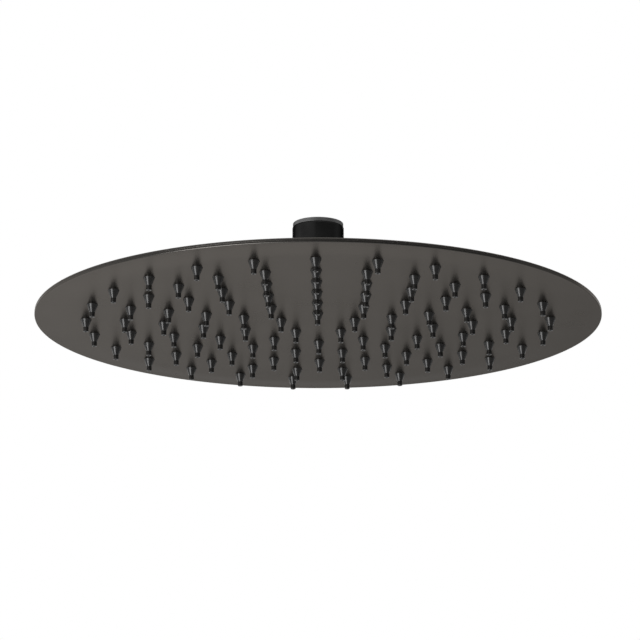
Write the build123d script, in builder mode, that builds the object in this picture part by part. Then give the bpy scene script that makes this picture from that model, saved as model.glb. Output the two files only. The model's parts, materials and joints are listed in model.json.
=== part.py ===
from build123d import *

import os
from math import acos, atan, cos, degrees, pi, radians, sin, sqrt

# Round rain shower head with silicone nozzles and a swivel ball joint, in millimetres.
# The origin is the centre of the inlet mouth and +Z points up, towards the supply pipe.

os.makedirs("parts", exist_ok=True)

# Spray plates
plate_diameter = 300.0
face_sheet = 1.25
face_bulge = 0.5
face_field_margin = 6.0
face_edge_break = 0.3
weld_land_width = 6.0
back_sheet = 1.25
rim_flange_width = 16.0
dome_rise = 5.0
pad_diameter = 60.0

# Nozzles
nozzles_per_ring = (5, 10, 15, 20, 25, 25)
outer_ring_margin = 27.2
nozzle_cone_length = 4.2
nozzle_tip_length = 2.5
nozzle_base_diameter = 6.0
nozzle_tip_diameter = 2.8
nozzle_fit = 0.03
nozzle_sides = 8

# Support studs in the water chamber
stud_count = 5
stud_diameter = 5.0
stud_sides = 6
stud_gap = 0.05

# Ball joint
ball_diameter = 24.0
neck_diameter = 11.0
stem_bore_diameter = 7.6
spigot_diameter = 9.6
spigot_fit = 0.05
tilt_limit = 15.0
running_clearance = 0.1
seat_thickness = 1.3
seat_top_angle = -25.0
seat_bottom_angle = -45.0
friction_ring_thickness = 1.8
friction_ring_low_angle = 8.0
friction_ring_lip_angle = 4.0

# Hub and swivel nut
hub_flange_diameter = 38.0
hub_flange_thickness = 2.0
hub_bore_diameter = 11.0
hub_spigot_diameter = 24.0
hub_spigot_length = 2.0
hub_fit = 0.05
cup_wall = 1.0
cup_rim_drop = 1.5
cup_floor_inset = 1.5
thread_clearance = 0.1
nut_wall = 2.4
nut_gap = 0.8
nut_shoulder_height = 2.0
nut_top_width = 2.1
nut_flats_depth = 1.0
lip_thickness = 1.1
neck_gap = 0.4
collar_gap = 1.8

# Inlet socket and the sleeve around it
inlet_thread_diameter = 20.955
inlet_thread_length = 10.0
socket_wall = 1.9
washer_seat_diameter = 18.6
regulator_recess_diameter = 15.0
regulator_recess_depth = 2.2
socket_floor = 2.6
sleeve_wall = 1.35
sleeve_fit = 0.03
ring_height = 2.2
ring_step = 0.3
ring_edge_break = 0.25
ring_seam = 0.2

# Inlet washer, filter and flow regulator
insert_fit = 0.05
filter_thickness = 0.5
washer_thickness = 1.5
washer_bore_diameter = 13.0
regulator_diameter = 11.0
regulator_bore_diameter = 4.0
regulator_seal_drop = 0.6

# Radii that the pieces share
plate_radius = plate_diameter / 2
dome_foot_radius = plate_radius - rim_flange_width
pad_radius = pad_diameter / 2
ball_radius = ball_diameter / 2
neck_radius = neck_diameter / 2
stem_bore_radius = stem_bore_diameter / 2
spigot_radius = spigot_diameter / 2
hub_bore_radius = hub_bore_diameter / 2
seat_inner_radius = ball_radius + running_clearance
seat_outer_radius = seat_inner_radius + seat_thickness
cup_radius = seat_outer_radius + running_clearance
hub_thread_radius = cup_radius + cup_wall
nut_thread_radius = hub_thread_radius + thread_clearance
nut_radius = nut_thread_radius + nut_wall
friction_ring_outer_radius = seat_inner_radius + friction_ring_thickness
nut_cavity_radius = friction_ring_outer_radius + running_clearance
inlet_thread_radius = inlet_thread_diameter / 2
washer_seat_radius = washer_seat_diameter / 2
regulator_recess_radius = regulator_recess_diameter / 2
regulator_radius = regulator_diameter / 2
socket_radius = inlet_thread_radius + socket_wall
sleeve_bore_radius = socket_radius + sleeve_fit
sleeve_radius = sleeve_bore_radius + sleeve_wall
ring_radius = sleeve_radius - ring_step

# Largest swing of the stem, with both tilts at their limit, and the nut's lip that lets it
swing = acos(cos(radians(tilt_limit)) ** 2)
lip_reach = neck_radius + lip_thickness * sin(swing) + neck_gap * cos(swing)
lip_angle = acos(lip_reach / nut_cavity_radius) - swing
lip_radius = nut_cavity_radius * cos(lip_angle)
lip_height = nut_cavity_radius * sin(lip_angle)
nut_top_height = lip_height + lip_thickness
nut_top_radius = lip_radius + nut_top_width
socket_lift = (nut_top_height + collar_gap) * cos(swing) + nut_top_radius * sin(swing)

# Heights, from the inlet mouth down to the spray face
thread_end_z = -inlet_thread_length
washer_seat_z = thread_end_z - filter_thickness - washer_thickness
regulator_z = washer_seat_z - regulator_recess_depth
socket_z = regulator_z - socket_floor
ball_z = socket_z - socket_lift
cup_rim_z = ball_z - cup_rim_drop
hub_flange_z = ball_z - (cup_radius - cup_floor_inset)
pad_z = hub_flange_z - hub_flange_thickness
rim_top_z = pad_z - dome_rise
inner_face_z = rim_top_z - back_sheet
face_z = inner_face_z - face_sheet

# Nozzle rings, with one nozzle of each ring towards -Y
ring_pitch = (plate_radius - outer_ring_margin) / len(nozzles_per_ring)
first_nozzle_angle = -90.0
nozzle_base_radius = nozzle_base_diameter / 2
nozzle_tip_radius = nozzle_tip_diameter / 2
nozzle_slope = (nozzle_base_radius - nozzle_tip_radius) / nozzle_cone_length
nozzle_side_angle = degrees(atan(nozzle_slope * cos(pi / nozzle_sides)))

# The dome is an arc that leaves the pad level and meets the rim flange at its foot
dome_span = dome_foot_radius - pad_radius
dome_radius = (dome_span**2 + dome_rise**2) / (2 * dome_rise)

# The spray face bulges a little: a level field with the nozzles and a cone to the weld land
face_field_radius = plate_radius - outer_ring_margin + nozzle_base_radius + face_field_margin
face_cone_radius = plate_radius - weld_land_width
face_field_z = face_z - face_bulge


def dome_drop(radius):
    """How far the dome lies below the pad at a distance from the axis."""
    return dome_radius - sqrt(dome_radius**2 - (radius - pad_radius) ** 2)


def on_ball(radius, angle):
    """Point of a ring section: a radius from the ball's centre, an angle above its equator."""
    return (radius * cos(radians(angle)), ball_z + radius * sin(radians(angle)))


def finish(piece, name):
    """Label a finished piece and write it."""
    piece.label = name
    export_step(piece, f"parts/{name}.step")


# Nozzle, drawn with few flat sides because there are so many: a cone and a tip, with a root
# that widens inside the plate, so that water pressure keeps the nozzle in its hole
with BuildPart() as nozzle:
    with BuildSketch(Plane.XY.offset(-nozzle_cone_length)):
        RegularPolygon(nozzle_base_radius, nozzle_sides)
    extrude(amount=nozzle_cone_length + face_sheet)
    draft(nozzle.faces().filter_by(Axis.Z, reverse=True), Plane.XY, -nozzle_side_angle)
    extrude(nozzle.faces().sort_by(Axis.Z)[0], amount=nozzle_tip_length)

# The hole that a nozzle sits in
with BuildPart() as nozzle_hole:
    with BuildSketch():
        RegularPolygon(nozzle_base_radius + nozzle_fit, nozzle_sides)
    extrude(amount=face_sheet)
    draft(nozzle_hole.faces().filter_by(Axis.Z, reverse=True), Plane.XY, -nozzle_side_angle)

# Rings of silicone nozzles
field_plane = Plane.XY.offset(face_field_z)
for ring, count in enumerate(nozzles_per_ring, start=1):
    with BuildPart(field_plane) as nozzles:
        with PolarLocations(ring * ring_pitch, count, start_angle=first_nozzle_angle):
            add(nozzle.part)
    finish(nozzles.part, f"nozzles_ring_{ring}")

# Face plate: slightly bulged sheet with a tapered hole for each nozzle
face_field_inner_z = face_field_z + face_sheet
with BuildPart(field_plane) as face_plate:
    with BuildSketch(Plane.XZ):
        with BuildLine():
            Polyline(
                (0, face_field_z),
                (face_field_radius, face_field_z),
                (face_cone_radius, face_z),
                (plate_radius - face_edge_break, face_z),
                (plate_radius, face_z + face_edge_break),
                (plate_radius, inner_face_z),
                (face_cone_radius, inner_face_z),
                (face_field_radius, face_field_inner_z),
                (0, face_field_inner_z),
                close=True,
            )
        make_face()
    revolve(axis=Axis.Z)
    for ring, count in enumerate(nozzles_per_ring, start=1):
        with PolarLocations(ring * ring_pitch, count, start_angle=first_nozzle_angle):
            add(nozzle_hole.part, mode=Mode.SUBTRACT)
finish(face_plate.part, "face_plate")

# Back plate: pressed sheet with a rim flange, a shallow dome and a level pad for the hub
hub_hole_radius = hub_spigot_diameter / 2 + hub_fit
with BuildPart() as back_plate:
    with BuildSketch(Plane.XZ):
        with BuildLine():
            pad_top = Line((hub_hole_radius, pad_z), (pad_radius, pad_z))
            dome_top = TangentArc(pad_top @ 1, (dome_foot_radius, rim_top_z), tangent=(1, 0))
            rim = Polyline(
                dome_top @ 1,
                (plate_radius, rim_top_z),
                (plate_radius, inner_face_z),
                (dome_foot_radius, inner_face_z),
            )
            pad_under_z = pad_z - back_sheet
            pad_under = Line((hub_hole_radius, pad_under_z), (pad_radius, pad_under_z))
            TangentArc(pad_under @ 1, rim @ 1, tangent=(1, 0))
            Line(pad_top @ 0, pad_under @ 0)
        make_face()
    revolve(axis=Axis.Z)
finish(back_plate.part, "back_plate")

# Support studs: spacers on the face plate, between the middle rings of nozzles
stud_radius = stud_diameter / 2
stud_ring_radius = (len(nozzles_per_ring) / 2 + 0.5) * ring_pitch
stud_top_z = pad_z - back_sheet - dome_drop(stud_ring_radius + stud_radius) - stud_gap
with BuildPart() as support_studs:
    with BuildSketch(Plane.XY.offset(face_field_inner_z)):
        with PolarLocations(stud_ring_radius, stud_count, start_angle=first_nozzle_angle):
            RegularPolygon(stud_radius, stud_sides)
    extrude(amount=stud_top_z - face_field_inner_z)
finish(support_studs.part, "support_studs")

# Hub: boss with a spigot in the back plate, a flange, the nut's thread and the ball's cup
hub_spigot_z = pad_z - hub_spigot_length
hub_spigot_radius = hub_spigot_diameter / 2
hub_flange_radius = hub_flange_diameter / 2
cup_floor_z = ball_z - sqrt(cup_radius**2 - hub_bore_radius**2)
cup_rim_radius = sqrt(cup_radius**2 - cup_rim_drop**2)
with BuildPart() as hub:
    with BuildSketch(Plane.XZ):
        with BuildLine():
            outside = Polyline(
                (hub_bore_radius, cup_floor_z),
                (hub_bore_radius, hub_spigot_z),
                (hub_spigot_radius, hub_spigot_z),
                (hub_spigot_radius, pad_z),
                (hub_flange_radius, pad_z),
                (hub_flange_radius, hub_flange_z),
                (hub_thread_radius, hub_flange_z),
                (hub_thread_radius, cup_rim_z),
                (cup_rim_radius, cup_rim_z),
            )
            RadiusArc(outside @ 1, outside @ 0, cup_radius)
        make_face()
    revolve(axis=Axis.Z)
finish(hub.part, "hub")


def ball_ring(inner_radius, outer_radius, low_angle, high_angle):
    """Ring between two spheres about the ball's centre, cut by two cones."""
    with BuildPart() as ring_part:
        with BuildSketch(Plane.XZ):
            with BuildLine():
                low_edge = Line(on_ball(inner_radius, low_angle), on_ball(outer_radius, low_angle))
                high_edge = Line(on_ball(inner_radius, high_angle), on_ball(outer_radius, high_angle))
                middle_angle = (low_angle + high_angle) / 2
                for end, radius in ((0, inner_radius), (1, outer_radius)):
                    ThreePointArc(low_edge @ end, on_ball(radius, middle_angle), high_edge @ end)
            make_face()
        revolve(axis=Axis.Z)
    return ring_part.part


# Seat washer under the ball and friction ring over it
seat_washer = ball_ring(seat_inner_radius, seat_outer_radius, seat_bottom_angle, seat_top_angle)
finish(seat_washer, "seat_washer")
friction_ring_high_angle = degrees(lip_angle) - friction_ring_lip_angle
friction_ring = ball_ring(
    seat_inner_radius,
    friction_ring_outer_radius,
    friction_ring_low_angle,
    friction_ring_high_angle,
)
finish(friction_ring, "friction_ring")

# Swivel nut: threaded skirt, round cavity over the friction ring, and a lip round the neck
nut_bottom_z = hub_flange_z + nut_gap
nut_shoulder_z = ball_z + nut_shoulder_height
nut_top_z = ball_z + nut_top_height
with BuildPart() as swivel_nut:
    with BuildSketch(Plane.XZ):
        with BuildLine():
            skirt = Polyline(
                (nut_cavity_radius, ball_z),
                (nut_thread_radius, ball_z),
                (nut_thread_radius, nut_bottom_z),
                (nut_radius, nut_bottom_z),
                (nut_radius, nut_shoulder_z),
                (nut_top_radius, nut_top_z),
                (lip_radius, nut_top_z),
                (lip_radius, ball_z + lip_height),
            )
            ThreePointArc(skirt @ 0, on_ball(nut_cavity_radius, degrees(lip_angle) / 2), skirt @ 1)
        make_face()
    revolve(axis=Axis.Z)
    flats_plane = Plane.XY.offset(nut_bottom_z)
    with BuildSketch(flats_plane):
        with Locations((0, nut_radius), (0, -nut_radius)):
            Rectangle(2 * nut_radius, 2 * nut_flats_depth)
    extrude(amount=nut_top_z - nut_bottom_z, mode=Mode.SUBTRACT)
finish(swivel_nut.part, "swivel_nut")

# Ball stem: ball, neck and threaded spigot, with the waterway through it
neck_root_z = ball_z + sqrt(ball_radius**2 - neck_radius**2)
ball_mouth_z = ball_z - sqrt(ball_radius**2 - stem_bore_radius**2)
with BuildPart() as ball_stem:
    with BuildSketch(Plane.XZ):
        with BuildLine():
            stem_side = Polyline(
                (neck_radius, neck_root_z),
                (neck_radius, socket_z),
                (spigot_radius, socket_z),
                (spigot_radius, regulator_z),
                (stem_bore_radius, regulator_z),
                (stem_bore_radius, ball_mouth_z),
            )
            ThreePointArc(stem_side @ 1, (ball_radius, ball_z), stem_side @ 0)
        make_face()
    revolve(axis=Axis.Z)
finish(ball_stem.part, "ball_stem")

# Inlet socket: threaded bore, washer seat, regulator recess and the ring at its mouth
spigot_hole_radius = spigot_radius + spigot_fit
with BuildPart() as inlet_socket:
    with BuildSketch(Plane.XZ):
        with BuildLine():
            Polyline(
                (spigot_hole_radius, socket_z),
                (socket_radius, socket_z),
                (socket_radius, -ring_height),
                (ring_radius, -ring_height),
                (ring_radius, 0),
                (inlet_thread_radius, 0),
                (inlet_thread_radius, thread_end_z),
                (washer_seat_radius, thread_end_z),
                (washer_seat_radius, washer_seat_z),
                (regulator_recess_radius, washer_seat_z),
                (regulator_recess_radius, regulator_z),
                (spigot_hole_radius, regulator_z),
                close=True,
            )
        make_face()
    revolve(axis=Axis.Z)
    mouth_edges = inlet_socket.edges().group_by(Axis.Z)[-1]
    chamfer(mouth_edges.sort_by(SortBy.RADIUS)[-1], ring_edge_break)
finish(inlet_socket.part, "inlet_socket")


def flat_ring(outer_radius, bore_radius, bottom_z, height):
    """Ring of rectangular section about the axis."""
    with BuildPart() as ring_part:
        with BuildSketch(Plane.XY.offset(bottom_z)):
            Circle(outer_radius)
            Circle(bore_radius, mode=Mode.SUBTRACT)
        extrude(amount=height)
    return ring_part.part


# Collar sleeve: black tube around the socket, up to the ring's seam
sleeve_height = -ring_height - ring_seam - socket_z
collar_sleeve = flat_ring(sleeve_radius, sleeve_bore_radius, socket_z, sleeve_height)
finish(collar_sleeve, "collar_sleeve")

# Flow regulator with its seal in the recess, filter screen and inlet washer above them
regulator = flat_ring(
    regulator_radius,
    regulator_bore_diameter / 2,
    regulator_z,
    regulator_recess_depth - insert_fit,
)
finish(regulator, "flow_regulator")
regulator_seal = flat_ring(
    regulator_recess_radius - insert_fit,
    regulator_radius + insert_fit,
    regulator_z,
    regulator_recess_depth - regulator_seal_drop,
)
finish(regulator_seal, "regulator_seal")
insert_radius = washer_seat_radius - insert_fit
with BuildPart(Plane.XY.offset(washer_seat_z)) as filter_screen:
    Cylinder(insert_radius, filter_thickness, align=(Align.CENTER, Align.CENTER, Align.MIN))
finish(filter_screen.part, "filter_screen")
inlet_washer = flat_ring(
    insert_radius,
    washer_bore_diameter / 2,
    washer_seat_z + filter_thickness,
    washer_thickness,
)
finish(inlet_washer, "inlet_washer")
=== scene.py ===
import json
from math import acos, atan2, cos, hypot, pi, radians, sin, sqrt, tan

import bmesh
import bpy
from mathutils import Matrix, Vector
from mathutils.geometry import delaunay_2d_cdt

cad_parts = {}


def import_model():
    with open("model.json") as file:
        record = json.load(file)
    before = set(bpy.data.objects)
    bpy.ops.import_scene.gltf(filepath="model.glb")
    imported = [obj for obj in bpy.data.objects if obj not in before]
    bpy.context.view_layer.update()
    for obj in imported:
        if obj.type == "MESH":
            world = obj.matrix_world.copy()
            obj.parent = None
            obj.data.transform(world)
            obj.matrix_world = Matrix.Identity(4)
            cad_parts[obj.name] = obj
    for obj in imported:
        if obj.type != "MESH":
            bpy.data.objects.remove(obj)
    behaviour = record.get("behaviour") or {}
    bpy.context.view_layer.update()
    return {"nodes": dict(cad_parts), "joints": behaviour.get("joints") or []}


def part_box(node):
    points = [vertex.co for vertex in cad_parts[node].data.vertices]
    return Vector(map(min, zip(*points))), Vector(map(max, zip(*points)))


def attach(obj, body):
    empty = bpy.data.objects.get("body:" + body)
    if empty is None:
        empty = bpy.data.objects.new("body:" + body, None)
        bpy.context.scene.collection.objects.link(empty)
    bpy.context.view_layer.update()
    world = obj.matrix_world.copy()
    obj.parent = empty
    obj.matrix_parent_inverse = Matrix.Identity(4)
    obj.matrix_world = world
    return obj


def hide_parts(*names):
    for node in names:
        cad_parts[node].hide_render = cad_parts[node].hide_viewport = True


# Looks of a round rain shower head: a thin satin gunmetal plate with black silicone nozzles,
# hung from a swivel ball joint with a threaded inlet. Metres, +Z up, origin at the inlet mouth.

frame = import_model()
nodes = frame["nodes"]
scene = bpy.context.scene

MM = 0.001
ARC_STEPS = 8
LATHE_SEGMENTS = 192
ON_AXIS = 1e-9
SHARP_ANGLE = radians(35)
FLATS_WEIGHT = 100


# Measures taken from the frame

def node_reach(name):
    """Inner and outer radius, and lowest and highest z, of a CAD node."""
    points = [vertex.co for vertex in nodes[name].data.vertices]
    radii = [hypot(point.x, point.y) for point in points]
    low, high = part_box(name)
    return min(radii), max(radii), low.z, high.z


NOZZLES_PER_RING = (5, 10, 15, 20, 25, 25)
NOZZLE_NODES = [f"nozzles_ring_{ring}" for ring in range(1, len(NOZZLES_PER_RING) + 1)]
BALL_Z = frame["joints"][0]["pos_m"][2]

SHEET = 1.25 * MM
_, PLATE_RADIUS, FIELD_Z, INNER_FACE_Z = node_reach("face_plate")
FACE_Z = INNER_FACE_Z - SHEET
FACE_BULGE = FACE_Z - FIELD_Z
HUB_HOLE_RADIUS, _, _, PAD_Z = node_reach("back_plate")
HUB_BORE_RADIUS, HUB_FLANGE_RADIUS, HUB_SPIGOT_Z, CUP_RIM_Z = node_reach("hub")
LIP_RADIUS, NUT_RADIUS, NUT_BOTTOM_Z, NUT_TOP_Z = node_reach("swivel_nut")
STEM_BORE_RADIUS, BALL_RADIUS, _, REGULATOR_Z = node_reach("ball_stem")
SLEEVE_BORE_RADIUS, SLEEVE_RADIUS, SOCKET_Z, SLEEVE_TOP_Z = node_reach("collar_sleeve")
SPIGOT_HOLE_RADIUS, RING_RADIUS, _, MOUTH_Z = node_reach("inlet_socket")
WASHER_BORE_RADIUS, WASHER_RADIUS, WASHER_Z, THREAD_END_Z = node_reach("inlet_washer")
_, FILTER_RADIUS, WASHER_SEAT_Z, _ = node_reach("filter_screen")
_, SEAL_RADIUS, _, _ = node_reach("regulator_seal")


# Meshes

def rounded(corners):
    """Closed outline of (radius, z) points: each corner (radius, z, fillet) becomes an arc."""
    outline = []
    for index, (radius, z, fillet) in enumerate(corners):
        corner = Vector((radius, z))
        before = (Vector(corners[index - 1][:2]) - corner).normalized()
        after = (Vector(corners[(index + 1) % len(corners)][:2]) - corner).normalized()
        if fillet == 0:
            outline.append(corner)
            continue
        half = before.angle(after) / 2
        centre = corner + (before + after).normalized() * fillet / sin(half)
        start = corner + before * fillet / tan(half) - centre
        end = corner + after * fillet / tan(half) - centre
        for step in range(ARC_STEPS + 1):
            outline.append(centre + start.slerp(end, step / ARC_STEPS).normalized() * fillet)
    return outline


def arc(centre_z, radius, first_angle, last_angle, steps, centre_radius=0.0):
    """Corners along an arc, with angles in radians above the level through its centre."""
    turn = (last_angle - first_angle) / steps
    angles = [first_angle + turn * step for step in range(steps + 1)]
    return [(centre_radius + radius * cos(a), centre_z + radius * sin(a), 0) for a in angles]


def lathe_into(build, outline, segments, place=Matrix(), closed=True):
    """Turn an outline about the axis and add it to a mesh in the making."""
    rings = []
    for radius, z in outline:
        spots = [(0, 0, z)] if radius < ON_AXIS else [
            (radius * cos(2 * pi * turn / segments), radius * sin(2 * pi * turn / segments), z)
            for turn in range(segments)
        ]
        rings.append([build.verts.new(place @ Vector(spot)) for spot in spots])
    followers = rings[1:] + rings[:1] if closed else rings[1:]
    for ring, following in zip(rings, followers):
        if len(ring) == len(following) == 1:
            continue
        for turn in range(segments):
            after = (turn + 1) % segments
            corners = []
            for side, index in ((ring, turn), (ring, after), (following, after), (following, turn)):
                vertex = side[index % len(side)]
                if vertex not in corners:
                    corners.append(vertex)
            build.faces.new(corners)


def finished_mesh(build, name):
    mesh = bpy.data.meshes.new(name)
    build.to_mesh(mesh)
    build.free()
    return mesh


def piece_from(build, name, material, body, replaced):
    """Finish a piece: smooth shading with true flats, its material and body, and the CAD node it replaces
    hidden.
    """
    bmesh.ops.recalc_face_normals(build, faces=build.faces)
    mesh = finished_mesh(build, name)
    mesh.shade_smooth()
    mesh.set_sharp_from_angle(angle=SHARP_ANGLE)
    mesh.materials.append(material)
    piece = bpy.data.objects.new(name, mesh)
    scene.collection.objects.link(piece)
    flats = piece.modifiers.new("flats", "WEIGHTED_NORMAL")
    flats.keep_sharp = True
    flats.weight = FLATS_WEIGHT
    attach(piece, body)
    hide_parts(replaced)


def lathe(name, outline, material, body, replaced):
    build = bmesh.new()
    lathe_into(build, outline, LATHE_SEGMENTS)
    piece_from(build, name, material, body, replaced)


# Materials

NOISE_DETAIL = 4.0
NOISE_LOW = 0.3
NOISE_HIGH = 0.7


def grey(level):
    return (level, level, level)


def new_material(name):
    material = bpy.data.materials.new(name)
    material.use_nodes = True
    return material, material.node_tree, material.node_tree.nodes["Principled BSDF"]


def noise(tree, scale):
    """Noise texture in the object's own metres, scale in features a metre."""
    place = tree.nodes.new("ShaderNodeTexCoord")
    texture = tree.nodes.new("ShaderNodeTexNoise")
    texture.inputs["Scale"].default_value = scale
    texture.inputs["Detail"].default_value = NOISE_DETAIL
    tree.links.new(place.outputs["Object"], texture.inputs["Vector"])
    return texture.outputs["Fac"]


def ramp(tree, value, start, end, low, high):
    """A value's way from start to end as a number from low to high."""
    way = tree.nodes.new("ShaderNodeMapRange")
    way.inputs["From Min"].default_value = start
    way.inputs["From Max"].default_value = end
    way.inputs["To Min"].default_value = low
    way.inputs["To Max"].default_value = high
    tree.links.new(value, way.inputs["Value"])
    return way.outputs["Result"]


def spread(tree, value, low, high):
    """The middle of a noise stretched over a range of numbers."""
    return ramp(tree, value, NOISE_LOW, NOISE_HIGH, low, high)


def two_tone(tree, value, dark, light):
    """Colour between a dark and a light tone, by a noise."""
    mix = tree.nodes.new("ShaderNodeMix")
    mix.data_type = "RGBA"
    mix.inputs["A"].default_value = (*dark, 1)
    mix.inputs["B"].default_value = (*light, 1)
    tree.links.new(spread(tree, value, 0, 1), mix.inputs["Factor"])
    return mix.outputs["Result"]


def bump(tree, shader, height, depth):
    node = tree.nodes.new("ShaderNodeBump")
    node.inputs["Strength"].default_value = 1.0
    node.inputs["Distance"].default_value = depth
    tree.links.new(height, node.inputs["Height"])
    tree.links.new(node.outputs["Normal"], shader.inputs["Normal"])


def surface(name, dark, light, roughness, metallic, patch, grain, grain_depth, edge=None):
    """Material with cloudy colour and gloss, patch across, over a fine grain of a given depth.

    The edge tints a metal's reflection at grazing angles.
    """
    material, tree, shader = new_material(name)
    clouds = noise(tree, 1 / patch)
    tree.links.new(two_tone(tree, clouds, dark, light), shader.inputs["Base Color"])
    tree.links.new(spread(tree, clouds, *roughness), shader.inputs["Roughness"])
    shader.inputs["Metallic"].default_value = metallic
    if edge is not None:
        shader.inputs["Specular Tint"].default_value = (*edge, 1)
    bump(tree, shader, noise(tree, 1 / grain), grain_depth)
    return material


GUNMETAL_DARK = (0.080, 0.0755, 0.0705)
GUNMETAL_LIGHT = (0.088, 0.083, 0.0775)
GUNMETAL_EDGE = (0.62, 0.60, 0.58)

gunmetal_sheet = surface(
    "satin_gunmetal_sheet", GUNMETAL_DARK, GUNMETAL_LIGHT, roughness=(0.27, 0.31), metallic=1.0,
    patch=25 * MM, grain=0.12 * MM, grain_depth=0.0006 * MM, edge=GUNMETAL_EDGE,
)
gunmetal_brass = surface(
    "satin_gunmetal_brass", GUNMETAL_DARK, GUNMETAL_LIGHT, roughness=(0.28, 0.34), metallic=1.0,
    patch=8 * MM, grain=0.10 * MM, grain_depth=0.0006 * MM, edge=GUNMETAL_EDGE,
)
black_sleeve = surface(
    "satin_black_coating", grey(0.033), grey(0.038), roughness=(0.28, 0.34), metallic=1.0,
    patch=6 * MM, grain=0.15 * MM, grain_depth=0.001 * MM, edge=grey(0.28),
)
silicone = surface(
    "black_silicone", grey(0.009), (0.013, 0.0125, 0.012), roughness=(0.22, 0.30), metallic=0.0,
    patch=2 * MM, grain=0.2 * MM, grain_depth=0.002 * MM,
)
inlet_plating = surface(
    "satin_nickel_plating", grey(0.19), grey(0.23), roughness=(0.34, 0.42), metallic=1.0,
    patch=6 * MM, grain=0.10 * MM, grain_depth=0.0006 * MM, edge=grey(0.22),
)
polished = surface(
    "polished_plating", (0.52, 0.52, 0.53), (0.58, 0.58, 0.59), roughness=(0.07, 0.14), metallic=1.0,
    patch=4 * MM, grain=0.3 * MM, grain_depth=0.0003 * MM,
)
white_plastic = surface(
    "white_plastic", (0.72, 0.72, 0.70), (0.77, 0.77, 0.75), roughness=(0.38, 0.46), metallic=0.0,
    patch=3 * MM, grain=0.2 * MM, grain_depth=0.002 * MM,
)
regulator_plastic = surface(
    "moulded_grey_plastic", (0.52, 0.53, 0.52), (0.57, 0.58, 0.57), roughness=(0.40, 0.50), metallic=0.0,
    patch=3 * MM, grain=0.2 * MM, grain_depth=0.002 * MM,
)
black_rubber = surface(
    "matt_black_rubber", grey(0.012), grey(0.018), roughness=(0.60, 0.75), metallic=0.0,
    patch=3 * MM, grain=0.1 * MM, grain_depth=0.006 * MM,
)
bare_steel = surface(
    "bare_steel", grey(0.46), (0.53, 0.53, 0.525), roughness=(0.22, 0.32), metallic=1.0,
    patch=3 * MM, grain=0.1 * MM, grain_depth=0.001 * MM,
)

# Pieces inside the joint and the plate keep their CAD shape

for name, material in (
    ("friction_ring", white_plastic),
    ("seat_washer", white_plastic),
    ("flow_regulator", regulator_plastic),
    ("regulator_seal", black_rubber),
    ("support_studs", bare_steel),
):
    nodes[name].data.materials.clear()
    nodes[name].data.materials.append(material)


# Nozzles: cone, tip and outlet, turned from one outline and set out in rings

NOZZLE_ROOT_RADIUS = 3.0 * MM
NOZZLE_TIP_RADIUS = 1.4 * MM
NOZZLE_CONE_LENGTH = 4.2 * MM
_, _, NOZZLE_LOW_Z, NOZZLE_HIGH_Z = node_reach(NOZZLE_NODES[0])
NOZZLE_LENGTH = NOZZLE_HIGH_Z - NOZZLE_LOW_Z - SHEET
OUTLET_RADIUS = 0.7 * MM
OUTLET_DEPTH = 2.5 * MM
WAIST_FILLET = 0.4 * MM
TIP_FILLET = 0.3 * MM
OUTLET_FILLET = 0.25 * MM
NOZZLE_SEGMENTS = 32


def nozzle_outline():
    return rounded([
        (0, SHEET, 0),
        (NOZZLE_ROOT_RADIUS, SHEET, 0),
        (NOZZLE_ROOT_RADIUS, 0, 0),
        (NOZZLE_TIP_RADIUS, -NOZZLE_CONE_LENGTH, WAIST_FILLET),
        (NOZZLE_TIP_RADIUS, -NOZZLE_LENGTH, TIP_FILLET),
        (OUTLET_RADIUS, -NOZZLE_LENGTH, OUTLET_FILLET),
        (OUTLET_RADIUS, OUTLET_DEPTH - NOZZLE_LENGTH, 0),
        (0, OUTLET_DEPTH - NOZZLE_LENGTH, 0),
    ])


def nozzle_spots(node, count):
    """Centres of a ring's nozzles on the spray face, one of them towards -Y."""
    inner, outer, low_z, _ = node_reach(node)
    radius = (inner + outer) / 2
    angles = [-pi / 2 + 2 * pi * index / count for index in range(count)]
    return [Vector((radius * cos(a), radius * sin(a), low_z + NOZZLE_LENGTH)) for a in angles]


for node, count in zip(NOZZLE_NODES, NOZZLES_PER_RING):
    build = bmesh.new()
    for spot in nozzle_spots(node, count):
        lathe_into(build, nozzle_outline(), NOZZLE_SEGMENTS, Matrix.Translation(spot))
    piece_from(build, f"silicone_{node}", silicone, "head", node)


# Face plate: level field with a round hole for each nozzle, and a rim that it bulges from

HOLE_GAP = 0.02 * MM
HOLE_POINTS = 40
RIM_WIDTH = 22 * MM
LAND_WIDTH = 1 * MM
FIELD_RADIUS = PLATE_RADIUS - RIM_WIDTH
LAND_RADIUS = PLATE_RADIUS - LAND_WIDTH
RIM_EDGE = 0.6 * MM
SEAM_EDGE = 0.15 * MM
RIM_STEPS = 24
FACE_SEGMENTS = 2 * LATHE_SEGMENTS
INSIDE_ONLY = 1
POINT_TOLERANCE = 0.0001 * MM
WELD_DISTANCE = 0.001 * MM


def circle(x, y, radius, points):
    angles = [2 * pi * index / points for index in range(points)]
    return [Vector((x + radius * cos(a), y + radius * sin(a))) for a in angles]


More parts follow.
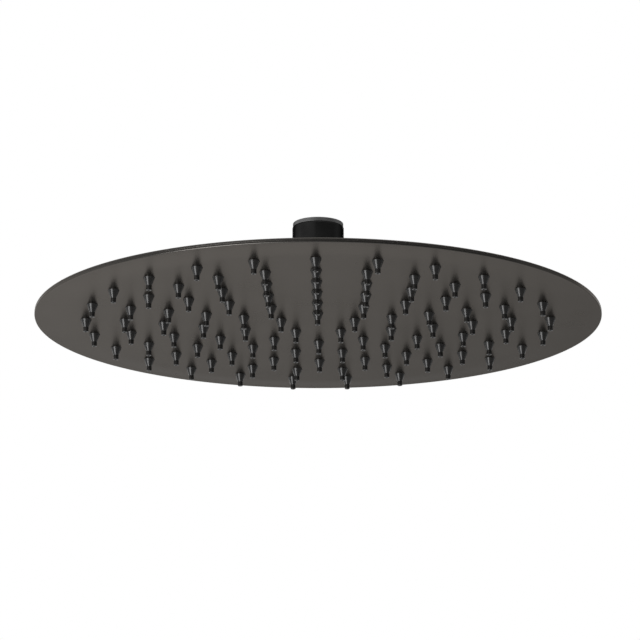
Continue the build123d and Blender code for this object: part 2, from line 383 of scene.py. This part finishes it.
def field_into(build):
    """Level sheet with its holes, open at its outer edge, where the rim goes on."""
    loops = [circle(0, 0, FIELD_RADIUS, FACE_SEGMENTS)]
    for node, count in zip(NOZZLE_NODES, NOZZLES_PER_RING):
        for spot in nozzle_spots(node, count):
            loops.append(circle(spot.x, spot.y, NOZZLE_ROOT_RADIUS + HOLE_GAP, HOLE_POINTS))
    points, edges, owners = [], [], []
    for number, loop in enumerate(loops):
        first = len(points)
        edges += [(first + index, first + (index + 1) % len(loop)) for index in range(len(loop))]
        owners += [number] * len(loop)
        points += loop
    triangles = delaunay_2d_cdt(points, edges, [], INSIDE_ONLY, POINT_TOLERANCE)[2]
    lower = [build.verts.new((point.x, point.y, FIELD_Z)) for point in points]
    upper = [build.verts.new((point.x, point.y, FIELD_Z + SHEET)) for point in points]
    for triangle in triangles:
        touched = {owners[index] for index in triangle}
        in_hole = len(touched) == 1 and 0 not in touched
        if not in_hole:
            build.faces.new([lower[index] for index in triangle])
            build.faces.new([upper[index] for index in triangle])
    for start, end in edges[FACE_SEGMENTS:]:
        build.faces.new((lower[start], lower[end], upper[end], upper[start]))


def rim_side(lift):
    """Corners of one side of the sheet, from the field up its smooth slope to the rim."""
    corners = []
    for step in range(RIM_STEPS + 1):
        way = step / RIM_STEPS
        radius = FIELD_RADIUS + (LAND_RADIUS - FIELD_RADIUS) * way
        corners.append((radius, FIELD_Z + FACE_BULGE * way**2 * (3 - 2 * way) + lift, 0))
    return corners


def face_plate():
    build = bmesh.new()
    field_into(build)
    outline = rounded(
        rim_side(0)
        + [(PLATE_RADIUS, FACE_Z, RIM_EDGE), (PLATE_RADIUS, INNER_FACE_Z, SEAM_EDGE)]
        + rim_side(SHEET)[::-1]
    )
    lathe_into(build, outline, FACE_SEGMENTS, closed=False)
    bmesh.ops.remove_doubles(build, verts=build.verts, dist=WELD_DISTANCE)
    piece_from(build, "spray_face", gunmetal_sheet, "head", "face_plate")


face_plate()


# Back plate: level pad, shallow dome and rim flange with a rolled edge

RIM_FLANGE_WIDTH = 16 * MM
PAD_RADIUS = 30 * MM
ROLLED_EDGE = 0.7 * MM
DOME_STEPS = 48


def dome(foot_radius, foot_z, top_z):
    """Corners of the dome's arc, from its foot to the pad, which it leaves level."""
    span = foot_radius - PAD_RADIUS
    rise = top_z - foot_z
    radius = (span**2 + rise**2) / (2 * rise)
    foot_angle = pi / 2 - acos(1 - rise / radius)
    return arc(top_z - radius, radius, foot_angle, pi / 2, DOME_STEPS, PAD_RADIUS)


def back_plate():
    rim_top_z = INNER_FACE_Z + SHEET
    foot_radius = PLATE_RADIUS - RIM_FLANGE_WIDTH
    over = dome(foot_radius, rim_top_z, PAD_Z)
    under = dome(foot_radius, INNER_FACE_Z, PAD_Z - SHEET)
    outline = rounded(
        [(PLATE_RADIUS, INNER_FACE_Z, SEAM_EDGE), (PLATE_RADIUS, rim_top_z, ROLLED_EDGE)]
        + over
        + [(HUB_HOLE_RADIUS, PAD_Z, 0), (HUB_HOLE_RADIUS, PAD_Z - SHEET, 0)]
        + under[::-1]
    )
    lathe("domed_back", outline, gunmetal_sheet, "head", "back_plate")


back_plate()


# Collar sleeve and inlet socket, with the thread as a real helix

SLEEVE_EDGE = 0.45 * MM
SLEEVE_FOOT_EDGE = 0.2 * MM
SLEEVE_MOUTH_EDGE = 0.1 * MM
SLEEVE_FIT = 0.03 * MM
SOCKET_RADIUS = SLEEVE_BORE_RADIUS - SLEEVE_FIT
SOCKET_EDGE = 0.3 * MM
RING_HEIGHT = 2.2 * MM
RING_EDGE = 0.3 * MM
RING_FOOT_EDGE = 0.15 * MM
MOUTH_CHAMFER = 0.6 * MM
MOUTH_FLARE = 0.2 * MM
INLET_THREAD_DIAMETER = 20.955 * MM
INLET_THREAD_RADIUS = INLET_THREAD_DIAMETER / 2
THREAD_PITCH = 1.814 * MM
THREAD_DEPTH = 1.0 * MM
THREAD_STEPS = 96
THREAD_TOP_Z = MOUTH_Z - MOUTH_CHAMFER
THREAD_WALL = 0.01 * MM
RIDGE_PEAK = 1.25
RIDGE_SLOPE = 3.6

lathe(
    "black_collar",
    rounded([
        (SLEEVE_BORE_RADIUS, SOCKET_Z, SLEEVE_FOOT_EDGE),
        (SLEEVE_RADIUS, SOCKET_Z, SLEEVE_EDGE),
        (SLEEVE_RADIUS, SLEEVE_TOP_Z, SLEEVE_EDGE),
        (SLEEVE_BORE_RADIUS, SLEEVE_TOP_Z, SLEEVE_MOUTH_EDGE),
    ]),
    black_sleeve, "stem", "collar_sleeve",
)


def thread_into(build):
    """Raise the ridge of the thread from its plain wall, running out at the mouth."""
    for vertex in build.verts:
        radius = hypot(vertex.co.x, vertex.co.y)
        on_wall = abs(radius - INLET_THREAD_RADIUS) < THREAD_WALL
        if on_wall and THREAD_END_Z < vertex.co.z < THREAD_TOP_Z:
            turn = atan2(vertex.co.y, vertex.co.x) / (2 * pi)
            phase = (vertex.co.z / THREAD_PITCH - turn) % 1
            ridge = min(1, max(0, RIDGE_PEAK - RIDGE_SLOPE * abs(phase - 0.5)))
            runout = min(1, (THREAD_TOP_Z - vertex.co.z) / THREAD_PITCH)
            shrink = (radius - THREAD_DEPTH * ridge * runout) / radius
            vertex.co.x *= shrink
            vertex.co.y *= shrink


def threaded_socket():
    thread_step = (THREAD_END_Z - THREAD_TOP_Z) / THREAD_STEPS
    outline = rounded(
        [
            (SPIGOT_HOLE_RADIUS, SOCKET_Z, 0),
            (SOCKET_RADIUS, SOCKET_Z, SOCKET_EDGE),
            (SOCKET_RADIUS, MOUTH_Z - RING_HEIGHT, 0),
            (RING_RADIUS, MOUTH_Z - RING_HEIGHT, RING_FOOT_EDGE),
            (RING_RADIUS, MOUTH_Z, RING_EDGE),
            (INLET_THREAD_RADIUS + MOUTH_FLARE, MOUTH_Z, MOUTH_FLARE),
        ]
        + [(INLET_THREAD_RADIUS, THREAD_TOP_Z + thread_step * step, 0) for step in range(THREAD_STEPS + 1)]
        + [
            (WASHER_RADIUS, THREAD_END_Z, 0),
            (WASHER_RADIUS, WASHER_SEAT_Z, 0),
            (SEAL_RADIUS, WASHER_SEAT_Z, 0),
            (SEAL_RADIUS, REGULATOR_Z, 0),
            (SPIGOT_HOLE_RADIUS, REGULATOR_Z, 0),
        ]
    )
    build = bmesh.new()
    lathe_into(build, outline, LATHE_SEGMENTS)
    thread_into(build)
    piece_from(build, "threaded_inlet", inlet_plating, "stem", "inlet_socket")


threaded_socket()


# Hub, swivel nut and ball stem, behind the plate

RUNNING_GAP = 0.1 * MM
FIT_GAP = 0.05 * MM
HUB_FLANGE = 2.0 * MM
HUB_SPIGOT_RADIUS = HUB_HOLE_RADIUS - FIT_GAP
HUB_THREAD_RADIUS = 14.5 * MM
HUB_EDGE = 0.2 * MM
HUB_FLANGE_EDGE = 0.5 * MM
HUB_FLANGE_ROOT = 0.25 * MM
CUP_GAP = 1.5 * MM
CUP_RADIUS = BALL_RADIUS + CUP_GAP
NUT_THREAD_RADIUS = HUB_THREAD_RADIUS + RUNNING_GAP
NUT_CAVITY_GAP = 2.0 * MM
NUT_CAVITY_RADIUS = BALL_RADIUS + NUT_CAVITY_GAP
NUT_SHOULDER_LIFT = 2.0 * MM
NUT_SHOULDER_Z = BALL_Z + NUT_SHOULDER_LIFT
NUT_LIP_WIDTH = 2.1 * MM
NUT_TOP_RADIUS = LIP_RADIUS + NUT_LIP_WIDTH
NUT_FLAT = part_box("swivel_nut")[1].y
NUT_THREAD_EDGE = 0.25 * MM
NUT_FOOT_EDGE = 0.4 * MM
NUT_SHOULDER_EDGE = 1.2 * MM
NUT_TOP_EDGE = 0.6 * MM
LIP_EDGE = 0.3 * MM
NECK_RADIUS = 5.5 * MM
NECK_FILLET = 0.6 * MM
SPIGOT_RADIUS = SPIGOT_HOLE_RADIUS - FIT_GAP
SPIGOT_EDGE = 0.2 * MM
BALL_STEPS = 40


def angle_at(radius, reach):
    """Angle above the level where a circle of a radius is a given distance from the axis."""
    return acos(reach / radius)


def hub():
    cup_low = -angle_at(CUP_RADIUS, HUB_BORE_RADIUS)
    cup_high = -angle_at(CUP_RADIUS, sqrt(CUP_RADIUS**2 - (BALL_Z - CUP_RIM_Z) ** 2))
    outline = rounded(
        [
            (HUB_BORE_RADIUS, HUB_SPIGOT_Z, HUB_EDGE),
            (HUB_SPIGOT_RADIUS, HUB_SPIGOT_Z, HUB_EDGE),
            (HUB_SPIGOT_RADIUS, PAD_Z, 0),
            (HUB_FLANGE_RADIUS, PAD_Z, 0),
            (HUB_FLANGE_RADIUS, PAD_Z + HUB_FLANGE, HUB_FLANGE_EDGE),
            (HUB_THREAD_RADIUS, PAD_Z + HUB_FLANGE, HUB_FLANGE_ROOT),
            (HUB_THREAD_RADIUS, CUP_RIM_Z, HUB_EDGE),
        ]
        + arc(BALL_Z, CUP_RADIUS, cup_high, cup_low, BALL_STEPS)
    )
    lathe("hub_boss", outline, gunmetal_brass, "head", "hub")


def swivel_nut():
    lip_angle = angle_at(NUT_CAVITY_RADIUS, LIP_RADIUS)
    outline = rounded(
        [
            (NUT_THREAD_RADIUS, BALL_Z, 0),
            (NUT_THREAD_RADIUS, NUT_BOTTOM_Z, NUT_THREAD_EDGE),
            (NUT_RADIUS, NUT_BOTTOM_Z, NUT_FOOT_EDGE),
            (NUT_RADIUS, NUT_SHOULDER_Z, NUT_SHOULDER_EDGE),
            (NUT_TOP_RADIUS, NUT_TOP_Z, NUT_TOP_EDGE),
            (LIP_RADIUS, NUT_TOP_Z, LIP_EDGE),
        ]
        + arc(BALL_Z, NUT_CAVITY_RADIUS, lip_angle, 0, BALL_STEPS)
    )
    build = bmesh.new()
    lathe_into(build, outline, LATHE_SEGMENTS)
    bmesh.ops.recalc_face_normals(build, faces=build.faces)
    for side in (1, -1):
        cut = bmesh.ops.bisect_plane(
            build,
            geom=build.verts[:] + build.edges[:] + build.faces[:],
            plane_co=(0, side * NUT_FLAT, 0),
            plane_no=(0, side, 0),
            clear_outer=True,
        )
        edges = [part for part in cut["geom_cut"] if isinstance(part, bmesh.types.BMEdge)]
        bmesh.ops.holes_fill(build, edges=edges)
    piece_from(build, "ball_nut", gunmetal_brass, "head", "swivel_nut")


def ball_stem():
    mouth_angle = -angle_at(BALL_RADIUS, STEM_BORE_RADIUS)
    root_angle = angle_at(BALL_RADIUS, NECK_RADIUS)
    ball = arc(BALL_Z, BALL_RADIUS, mouth_angle, root_angle, BALL_STEPS)
    root_radius, root_z, _ = ball[-1]
    outline = rounded(
        ball[:-1]
        + [
            (root_radius, root_z, NECK_FILLET),
            (NECK_RADIUS, SOCKET_Z, 0),
            (SPIGOT_RADIUS, SOCKET_Z, 0),
            (SPIGOT_RADIUS, REGULATOR_Z, SPIGOT_EDGE),
            (STEM_BORE_RADIUS, REGULATOR_Z, SPIGOT_EDGE),
        ]
    )
    lathe("ball_and_neck", outline, polished, "stem", "ball_stem")


hub()
swivel_nut()
ball_stem()


# Inlet washer and woven filter screen

WASHER_EDGE = 0.3 * MM
MESH_PITCH = 0.72 * MM
WIRE_RADIUS = 0.12 * MM
WIRE_SIDES = 6
STEPS_PER_PITCH = 4
FILTER_BAND = 0.9 * MM
BAND_EDGE = 0.15 * MM
FILTER_Z = (WASHER_SEAT_Z + WASHER_Z) / 2

lathe(
    "flat_inlet_washer",
    rounded([
        (WASHER_BORE_RADIUS, WASHER_Z, WASHER_EDGE),
        (WASHER_RADIUS, WASHER_Z, WASHER_EDGE),
        (WASHER_RADIUS, THREAD_END_Z, WASHER_EDGE),
        (WASHER_BORE_RADIUS, THREAD_END_Z, WASHER_EDGE),
    ]),
    black_rubber, "stem", "inlet_washer",
)


def wire_into(build, offset, reach, along, start_up):
    """One wavy wire of the screen, over and under the wires that cross it."""
    steps = int(2 * reach / MESH_PITCH) * STEPS_PER_PITCH
    across = Vector((along.y, along.x, 0))
    loops = []
    for step in range(steps + 1):
        way = -reach + 2 * reach * step / steps
        wave = cos(pi * way / MESH_PITCH) * start_up * WIRE_RADIUS
        middle = along * way + across * offset + Vector((0, 0, FILTER_Z + wave))
        loop = []
        for side in range(WIRE_SIDES):
            turn = 2 * pi * side / WIRE_SIDES
            spot = middle + (across * cos(turn) + Vector((0, 0, sin(turn)))) * WIRE_RADIUS
            loop.append(build.verts.new(spot))
        loops.append(loop)
    for loop, following in zip(loops, loops[1:]):
        for side in range(WIRE_SIDES):
            after = (side + 1) % WIRE_SIDES
            build.faces.new((loop[side], loop[after], following[after], following[side]))
    build.faces.new(loops[0][::-1])
    build.faces.new(loops[-1])


def filter_screen():
    build = bmesh.new()
    band_radius = FILTER_RADIUS - FILTER_BAND
    band = rounded([
        (band_radius, WASHER_SEAT_Z, BAND_EDGE),
        (FILTER_RADIUS, WASHER_SEAT_Z, BAND_EDGE),
        (FILTER_RADIUS, WASHER_Z, BAND_EDGE),
        (band_radius, WASHER_Z, BAND_EDGE),
    ])
    lathe_into(build, band, LATHE_SEGMENTS)
    rows = int(band_radius / MESH_PITCH)
    for row in range(-rows, rows + 1):
        offset = row * MESH_PITCH
        reach = sqrt((band_radius + WIRE_RADIUS) ** 2 - offset**2)
        start_up = 1 if row % 2 == 0 else -1
        wire_into(build, offset, reach, Vector((1, 0, 0)), start_up)
        wire_into(build, offset, reach, Vector((0, 1, 0)), -start_up)
    piece_from(build, "woven_filter", bare_steel, "stem", "filter_screen")


filter_screen()


# Stage: pale floor, soft studio light and the camera

WHITE = (1, 1, 1, 1)
FACE_CENTRE = Vector((0, 0, FACE_Z))

FLOOR_Z = -2.1
FLOOR_RADIUS = 30.0
FLOOR_SEGMENTS = 64
FLOOR_DARK = grey(0.875)
FLOOR_LIGHT = grey(0.885)
FLOOR_PATCHES_A_METRE = 3.0
FLOOR_ROUGHNESS = 0.9

SEEN_STRENGTH = 1.0
SOFT_STRENGTH = 0.9

# Hoods are curved screens around the object; heights are z, azimuths are degrees from -Y
HOOD_RADIUS = 2.4
HOOD_STEPS = 48
HOOD_LOW_Z = -2.0
HOOD_STEP_Z = 0.05
HOOD_LEFT_TOP_Z = 1.1
HOOD_TOP_Z = 1.4
HOOD_LEFT_END = -108
HOOD_LEFT = -82
HOOD_MIDDLE = -14
HOOD_RIGHT = 84
HOOD_RIGHT_END = 126

# The back card's strength: from one place to another, and from one strength to another
CARD_DISTANCE = 1.2
CARD_REACH = 1.3
CARD_LOW_Z = -1.4
CARD_HIGH_Z = 0.1
CARD_BELOW = (-0.62, -0.22, 1.21, 0.10)
CARD_ABOVE = (-0.29, -0.04, 0.00, 1.00)
CARD_ASIDE = (-0.30, 0.30, 1.17, 0.77)

CAMERA_DISTANCE = 10.7 * PLATE_RADIUS
CAMERA_ELEVATION = -14.87
CAMERA_AZIMUTH = 0.55
FRAME_PIXELS = 640
FOCAL_PIXELS = 3024.0
SENSOR = 36.0
FACE_CENTRE_PIXEL = (318.1, 321.88)


def emission(name, strength=1.0):
    material = bpy.data.materials.new(name)
    material.use_nodes = True
    tree = material.node_tree
    tree.nodes.clear()
    glow = tree.nodes.new("ShaderNodeEmission")
    glow.inputs["Color"].default_value = WHITE
    glow.inputs["Strength"].default_value = strength
    out = tree.nodes.new("ShaderNodeOutputMaterial")
    tree.links.new(glow.outputs["Emission"], out.inputs["Surface"])
    return material


def combined(tree, operation, first, second):
    both = tree.nodes.new("ShaderNodeMath")
    both.operation = operation
    tree.links.new(first, both.inputs[0])
    tree.links.new(second, both.inputs[1])
    return both.outputs["Value"]


def floor():
    build = bmesh.new()
    bmesh.ops.create_circle(build, cap_ends=True, segments=FLOOR_SEGMENTS, radius=FLOOR_RADIUS)
    mesh = finished_mesh(build, "floor")
    material, tree, shader = new_material("pale_floor")
    tone = two_tone(tree, noise(tree, FLOOR_PATCHES_A_METRE), FLOOR_DARK, FLOOR_LIGHT)
    tree.links.new(tone, shader.inputs["Base Color"])
    shader.inputs["Roughness"].default_value = FLOOR_ROUGHNESS
    mesh.materials.append(material)
    ground = bpy.data.objects.new("floor", mesh)
    ground.location = (0, 0, FLOOR_Z)
    scene.collection.objects.link(ground)


def background(tree, strength):
    shader = tree.nodes.new("ShaderNodeBackground")
    shader.inputs["Color"].default_value = WHITE
    shader.inputs["Strength"].default_value = strength
    return shader.outputs["Background"]


def world():
    """White to the camera and in reflections, a little softer as light."""
    sky = bpy.data.worlds.new("studio")
    scene.world = sky
    sky.use_nodes = True
    tree = sky.node_tree
    tree.nodes.clear()
    path = tree.nodes.new("ShaderNodeLightPath")
    seen = path.outputs["Is Camera Ray"]
    for output in ("Is Glossy Ray", "Is Transmission Ray"):
        seen = combined(tree, "MAXIMUM", seen, path.outputs[output])
    mix = tree.nodes.new("ShaderNodeMixShader")
    tree.links.new(seen, mix.inputs["Fac"])
    tree.links.new(background(tree, SOFT_STRENGTH), mix.inputs[1])
    tree.links.new(background(tree, SEEN_STRENGTH), mix.inputs[2])
    out = tree.nodes.new("ShaderNodeOutputWorld")
    tree.links.new(mix.outputs["Shader"], out.inputs["Surface"])


def direction(azimuth, elevation):
    """Unit vector from the object towards the viewer's side, azimuth 0 at -Y, in degrees."""
    a = radians(azimuth)
    e = radians(elevation)
    return Vector((sin(a) * cos(e), -cos(a) * cos(e), sin(e)))


def facing(thing, target):
    thing.rotation_mode = "QUATERNION"
    thing.rotation_quaternion = (target - thing.location).to_track_quat("-Z", "Y")


def area_light(name, azimuth, elevation, distance, width, height, radiance):
    lamp = bpy.data.lights.new(name, "AREA")
    lamp.shape = "RECTANGLE"
    lamp.size = width
    lamp.size_y = height
    lamp.energy = radiance * pi * width * height
    light = bpy.data.objects.new(name, lamp)
    light.location = FACE_CENTRE + direction(azimuth, elevation) * distance
    facing(light, FACE_CENTRE)
    scene.collection.objects.link(light)


def stage_card(mesh):
    """Put a card or a hood on the stage, seen by reflections alone."""
    card = bpy.data.objects.new(mesh.name, mesh)
    card.visible_camera = False
    card.visible_diffuse = False
    card.visible_shadow = False
    scene.collection.objects.link(card)


def dark_hood(name, first_azimuth, last_azimuth, low_z, high_z, radiance):
    """Curved dark screen that only reflections see."""
    build = bmesh.new()
    columns = []
    for step in range(HOOD_STEPS + 1):
        azimuth = first_azimuth + (last_azimuth - first_azimuth) * step / HOOD_STEPS
        spot = FACE_CENTRE + direction(azimuth, 0) * HOOD_RADIUS
        columns.append([build.verts.new((spot.x, spot.y, z)) for z in (low_z, high_z)])
    for left, right in zip(columns, columns[1:]):
        build.faces.new((left[0], right[0], right[1], left[1]))
    mesh = finished_mesh(build, name)
    mesh.materials.append(emission(name, radiance))
    stage_card(mesh)


def back_card():
    """Card behind the object that only reflections see: dim across its middle and to the right."""
    build = bmesh.new()
    corners = (
        (-CARD_REACH, CARD_LOW_Z),
        (CARD_REACH, CARD_LOW_Z),
        (CARD_REACH, CARD_HIGH_Z),
        (-CARD_REACH, CARD_HIGH_Z),
    )
    build.faces.new([build.verts.new((x, CARD_DISTANCE, z)) for x, z in corners])
    mesh = finished_mesh(build, "back_card")
    material = emission("back_card")
    tree = material.node_tree
    place = tree.nodes.new("ShaderNodeTexCoord")
    axes = tree.nodes.new("ShaderNodeSeparateXYZ")
    tree.links.new(place.outputs["Object"], axes.inputs["Vector"])
    below = ramp(tree, axes.outputs["Z"], *CARD_BELOW)
    above = ramp(tree, axes.outputs["Z"], *CARD_ABOVE)
    aside = ramp(tree, axes.outputs["X"], *CARD_ASIDE)
    glow = combined(tree, "MULTIPLY", combined(tree, "ADD", below, above), aside)
    tree.links.new(glow, tree.nodes["Emission"].inputs["Strength"])
    mesh.materials.append(material)
    stage_card(mesh)


def camera():
    lens = bpy.data.cameras.new("camera")
    lens.sensor_width = SENSOR
    lens.lens = SENSOR * FOCAL_PIXELS / FRAME_PIXELS
    lens.shift_x = (FRAME_PIXELS / 2 - FACE_CENTRE_PIXEL[0]) / FRAME_PIXELS
    lens.shift_y = (FACE_CENTRE_PIXEL[1] - FRAME_PIXELS / 2) / FRAME_PIXELS
    eye = bpy.data.objects.new("camera", lens)
    eye.location = FACE_CENTRE + direction(CAMERA_AZIMUTH, CAMERA_ELEVATION) * CAMERA_DISTANCE
    facing(eye, FACE_CENTRE)
    scene.collection.objects.link(eye)
    scene.camera = eye


floor()
world()
camera()
area_light(
    "strip_front_left", azimuth=-39.5, elevation=-26, distance=1.3, width=0.76, height=0.85, radiance=6.0
)
dark_hood("hood_front", HOOD_MIDDLE, HOOD_RIGHT, HOOD_LOW_Z, HOOD_TOP_Z, radiance=0.17)
dark_hood("hood_front_left", HOOD_LEFT, HOOD_MIDDLE, HOOD_LOW_Z, HOOD_STEP_Z, radiance=0.16)
dark_hood("hood_high_left", HOOD_LEFT, HOOD_MIDDLE, HOOD_STEP_Z, HOOD_LEFT_TOP_Z, radiance=0.45)
dark_hood("hood_left", HOOD_LEFT_END, HOOD_LEFT, HOOD_STEP_Z, HOOD_LEFT_TOP_Z, radiance=0.72)
dark_hood("hood_right", HOOD_RIGHT, HOOD_RIGHT_END, HOOD_LOW_Z, HOOD_TOP_Z, radiance=0.36)
back_card()
scene.view_settings.view_transform = "Standard"
